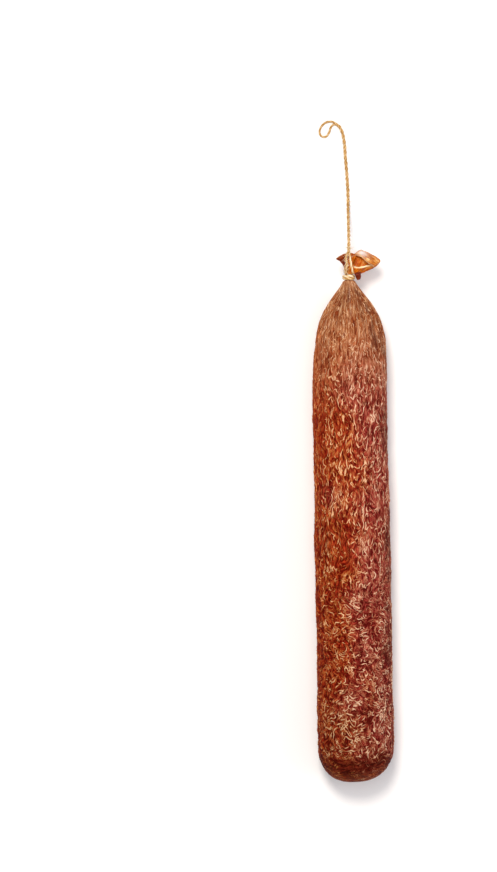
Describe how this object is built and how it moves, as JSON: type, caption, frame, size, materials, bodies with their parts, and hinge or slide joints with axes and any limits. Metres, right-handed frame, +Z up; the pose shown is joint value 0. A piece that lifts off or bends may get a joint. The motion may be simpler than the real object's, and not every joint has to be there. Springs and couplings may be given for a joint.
{
  "type": "cured sausage",
  "caption": "Slim dry-cured sausage in a wrinkled casing, with a round end, a tied and flared end, and a long loop of twine to hang it by.",
  "frame": {"origin": "bottom centre of the sausage and its tie: the middle of their box on the surface they lie on, without the hanging loop", "axes": "+Y along the sausage from its round end towards its tied end, +Z up out of the side that shows, +X to the right of the tied end seen from above"},
  "size_m": [0.0463, 0.3952, 0.045],
  "materials": {
    "casing": "satin, wrinkled",
    "twine": "matt, fibrous"
  },
  "bodies": {
    "root": {"sausage": "casing", "tie": "twine", "hanging_loop": "twine"}
  },
  "joints": []
}
